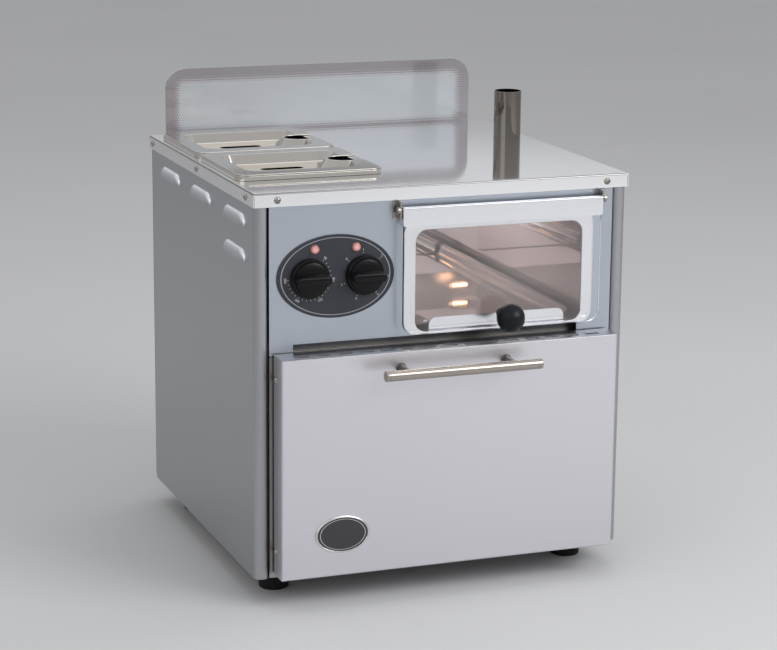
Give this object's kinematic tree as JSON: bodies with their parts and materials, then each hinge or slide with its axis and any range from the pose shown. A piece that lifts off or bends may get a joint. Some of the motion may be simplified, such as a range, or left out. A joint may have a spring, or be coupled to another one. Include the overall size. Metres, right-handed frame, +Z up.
{
  "type": "countertop oven",
  "caption": "Steel countertop oven with a pull-out oven drawer, lit display cabinet with lift-up glass door, two dials, flue, rear guard and lidded pans in the worktop.",
  "frame": {"origin": "on the floor, under the middle of the whole object's box", "axes": "+X to the right as seen from the front, +Y from the front to the back, +Z up"},
  "size_m": [0.462, 0.5205, 0.5575],
  "materials": {
    "brushed_casing": "vertically brushed stainless steel",
    "drawer_steel": "fine brushed stainless steel",
    "fascia_steel": "satin stainless steel with a cool tint",
    "mirror_steel": "mirror-polished stainless steel",
    "polished_steel": "polished stainless steel",
    "liner_steel": "bright stainless sheet",
    "pan_steel": "bright pressed stainless steel",
    "inner_sheet": "galvanised sheet",
    "wire_steel": "chromed wire",
    "chrome": "bright chrome",
    "handle_steel": "satin nickel",
    "fasteners": "bright zinc",
    "fan_metal": "aluminised sheet",
    "element": "oxidised heater tube",
    "glass": "clear toughened glass",
    "guard_glass": "tinted glass with a printed border",
    "lamp_glass": "warm lamp glass",
    "neon": "translucent red",
    "black_plastic": "black phenolic",
    "plate": "charcoal print on metal",
    "badge": "black enamel with a bright rim",
    "rubber": "black rubber",
    "wool": "mineral wool"
  },
  "bodies": {
    "oven": {"worktop": "mirror_steel", "side_panel_left": "brushed_casing", "side_panel_right": "brushed_casing", "rear_cover": "brushed_casing", "base_plate": "inner_sheet", "fascia": "fascia_steel", "feet": "rubber", "foot_studs": "fasteners", "casing_screws": "fasteners", "oven_liner": "liner_steel", "oven_insulation": "wool", "rear_baffle": "liner_steel", "ring_element": "element", "fan_motor": "fan_metal", "runners": "inner_sheet", "flue_duct": "inner_sheet", "flue_tube": "chrome", "display_liner": "liner_steel", "display_frame": "polished_steel", "display_tray": "liner_steel", "lamp_holder": "black_plastic", "display_lamp": "lamp_glass", "hinge_brackets": "fasteners", "hinge_screws": "fasteners", "control_plate": "plate", "control_bodies": "black_plastic", "neon_lamps": "neon", "well_liner": "liner_steel", "well_element": "element", "guard_panel": "guard_glass", "cable_gland": "black_plastic", "terminal_block": "black_plastic"},
    "drawer": {"drawer_front": "drawer_steel", "drawer_back_panel": "inner_sheet", "drawer_insulation": "wool", "drawer_seal": "rubber", "drawer_screws": "fasteners", "handle_bar": "handle_steel", "handle_posts": "handle_steel", "badge_plate": "badge", "slide_rails": "inner_sheet", "rack_side_left": "inner_sheet", "rack_side_right": "inner_sheet", "lower_shelf": "wire_steel", "middle_shelf": "wire_steel", "upper_shelf": "wire_steel"},
    "door": {"hinge_rail": "polished_steel", "door_glass": "glass", "door_knob": "black_plastic", "door_knob_screw": "fasteners"},
    "oven_dial": {"oven_knob": "black_plastic", "oven_spindle": "fasteners"},
    "well_dial": {"well_knob": "black_plastic", "well_spindle": "fasteners"},
    "fan": {"fan_wheel": "fan_metal", "fan_shaft": "fasteners"},
    "front_pan": {"front_pan": "pan_steel"},
    "front_lid": {"front_lid": "pan_steel"},
    "rear_pan": {"rear_pan": "pan_steel"},
    "rear_lid": {"rear_lid": "pan_steel"}
  },
  "joints": [
    {"name": "drawer_slide", "type": "slide", "parent": "oven", "child": "drawer", "axis": [0, -1, 0], "range_m": [0, 0.29]},
    {"name": "door_hinge", "type": "hinge", "parent": "oven", "child": "door", "pos_m": [0.067, -0.19825, 0.449], "axis": [-1, 0, 0], "range_deg": [0, 100]},
    {"name": "oven_knob_turn", "type": "hinge", "parent": "oven", "child": "oven_dial", "pos_m": [-0.162, -0.19225, 0.377], "axis": [0, 1, 0], "range_deg": [0, 270]},
    {"name": "well_knob_turn", "type": "hinge", "parent": "oven", "child": "well_dial", "pos_m": [-0.097, -0.19225, 0.377], "axis": [0, 1, 0], "range_deg": [0, 300]},
    {"name": "fan_spin", "type": "hinge", "parent": "oven", "child": "fan", "pos_m": [0, 0.17775, 0.168], "axis": [0, 1, 0], "continuous": true},
    {"name": "front_pan_lift", "type": "slide", "parent": "oven", "child": "front_pan", "axis": [0, 0, 1], "range_m": [0, 0.12]},
    {"name": "front_lid_lift", "type": "slide", "parent": "front_pan", "child": "front_lid", "axis": [0, 0, 1], "range_m": [0, 0.05]},
    {"name": "rear_pan_lift", "type": "slide", "parent": "oven", "child": "rear_pan", "axis": [0, 0, 1], "range_m": [0, 0.12]},
    {"name": "rear_lid_lift", "type": "slide", "parent": "rear_pan", "child": "rear_lid", "axis": [0, 0, 1], "range_m": [0, 0.05]}
  ]
}
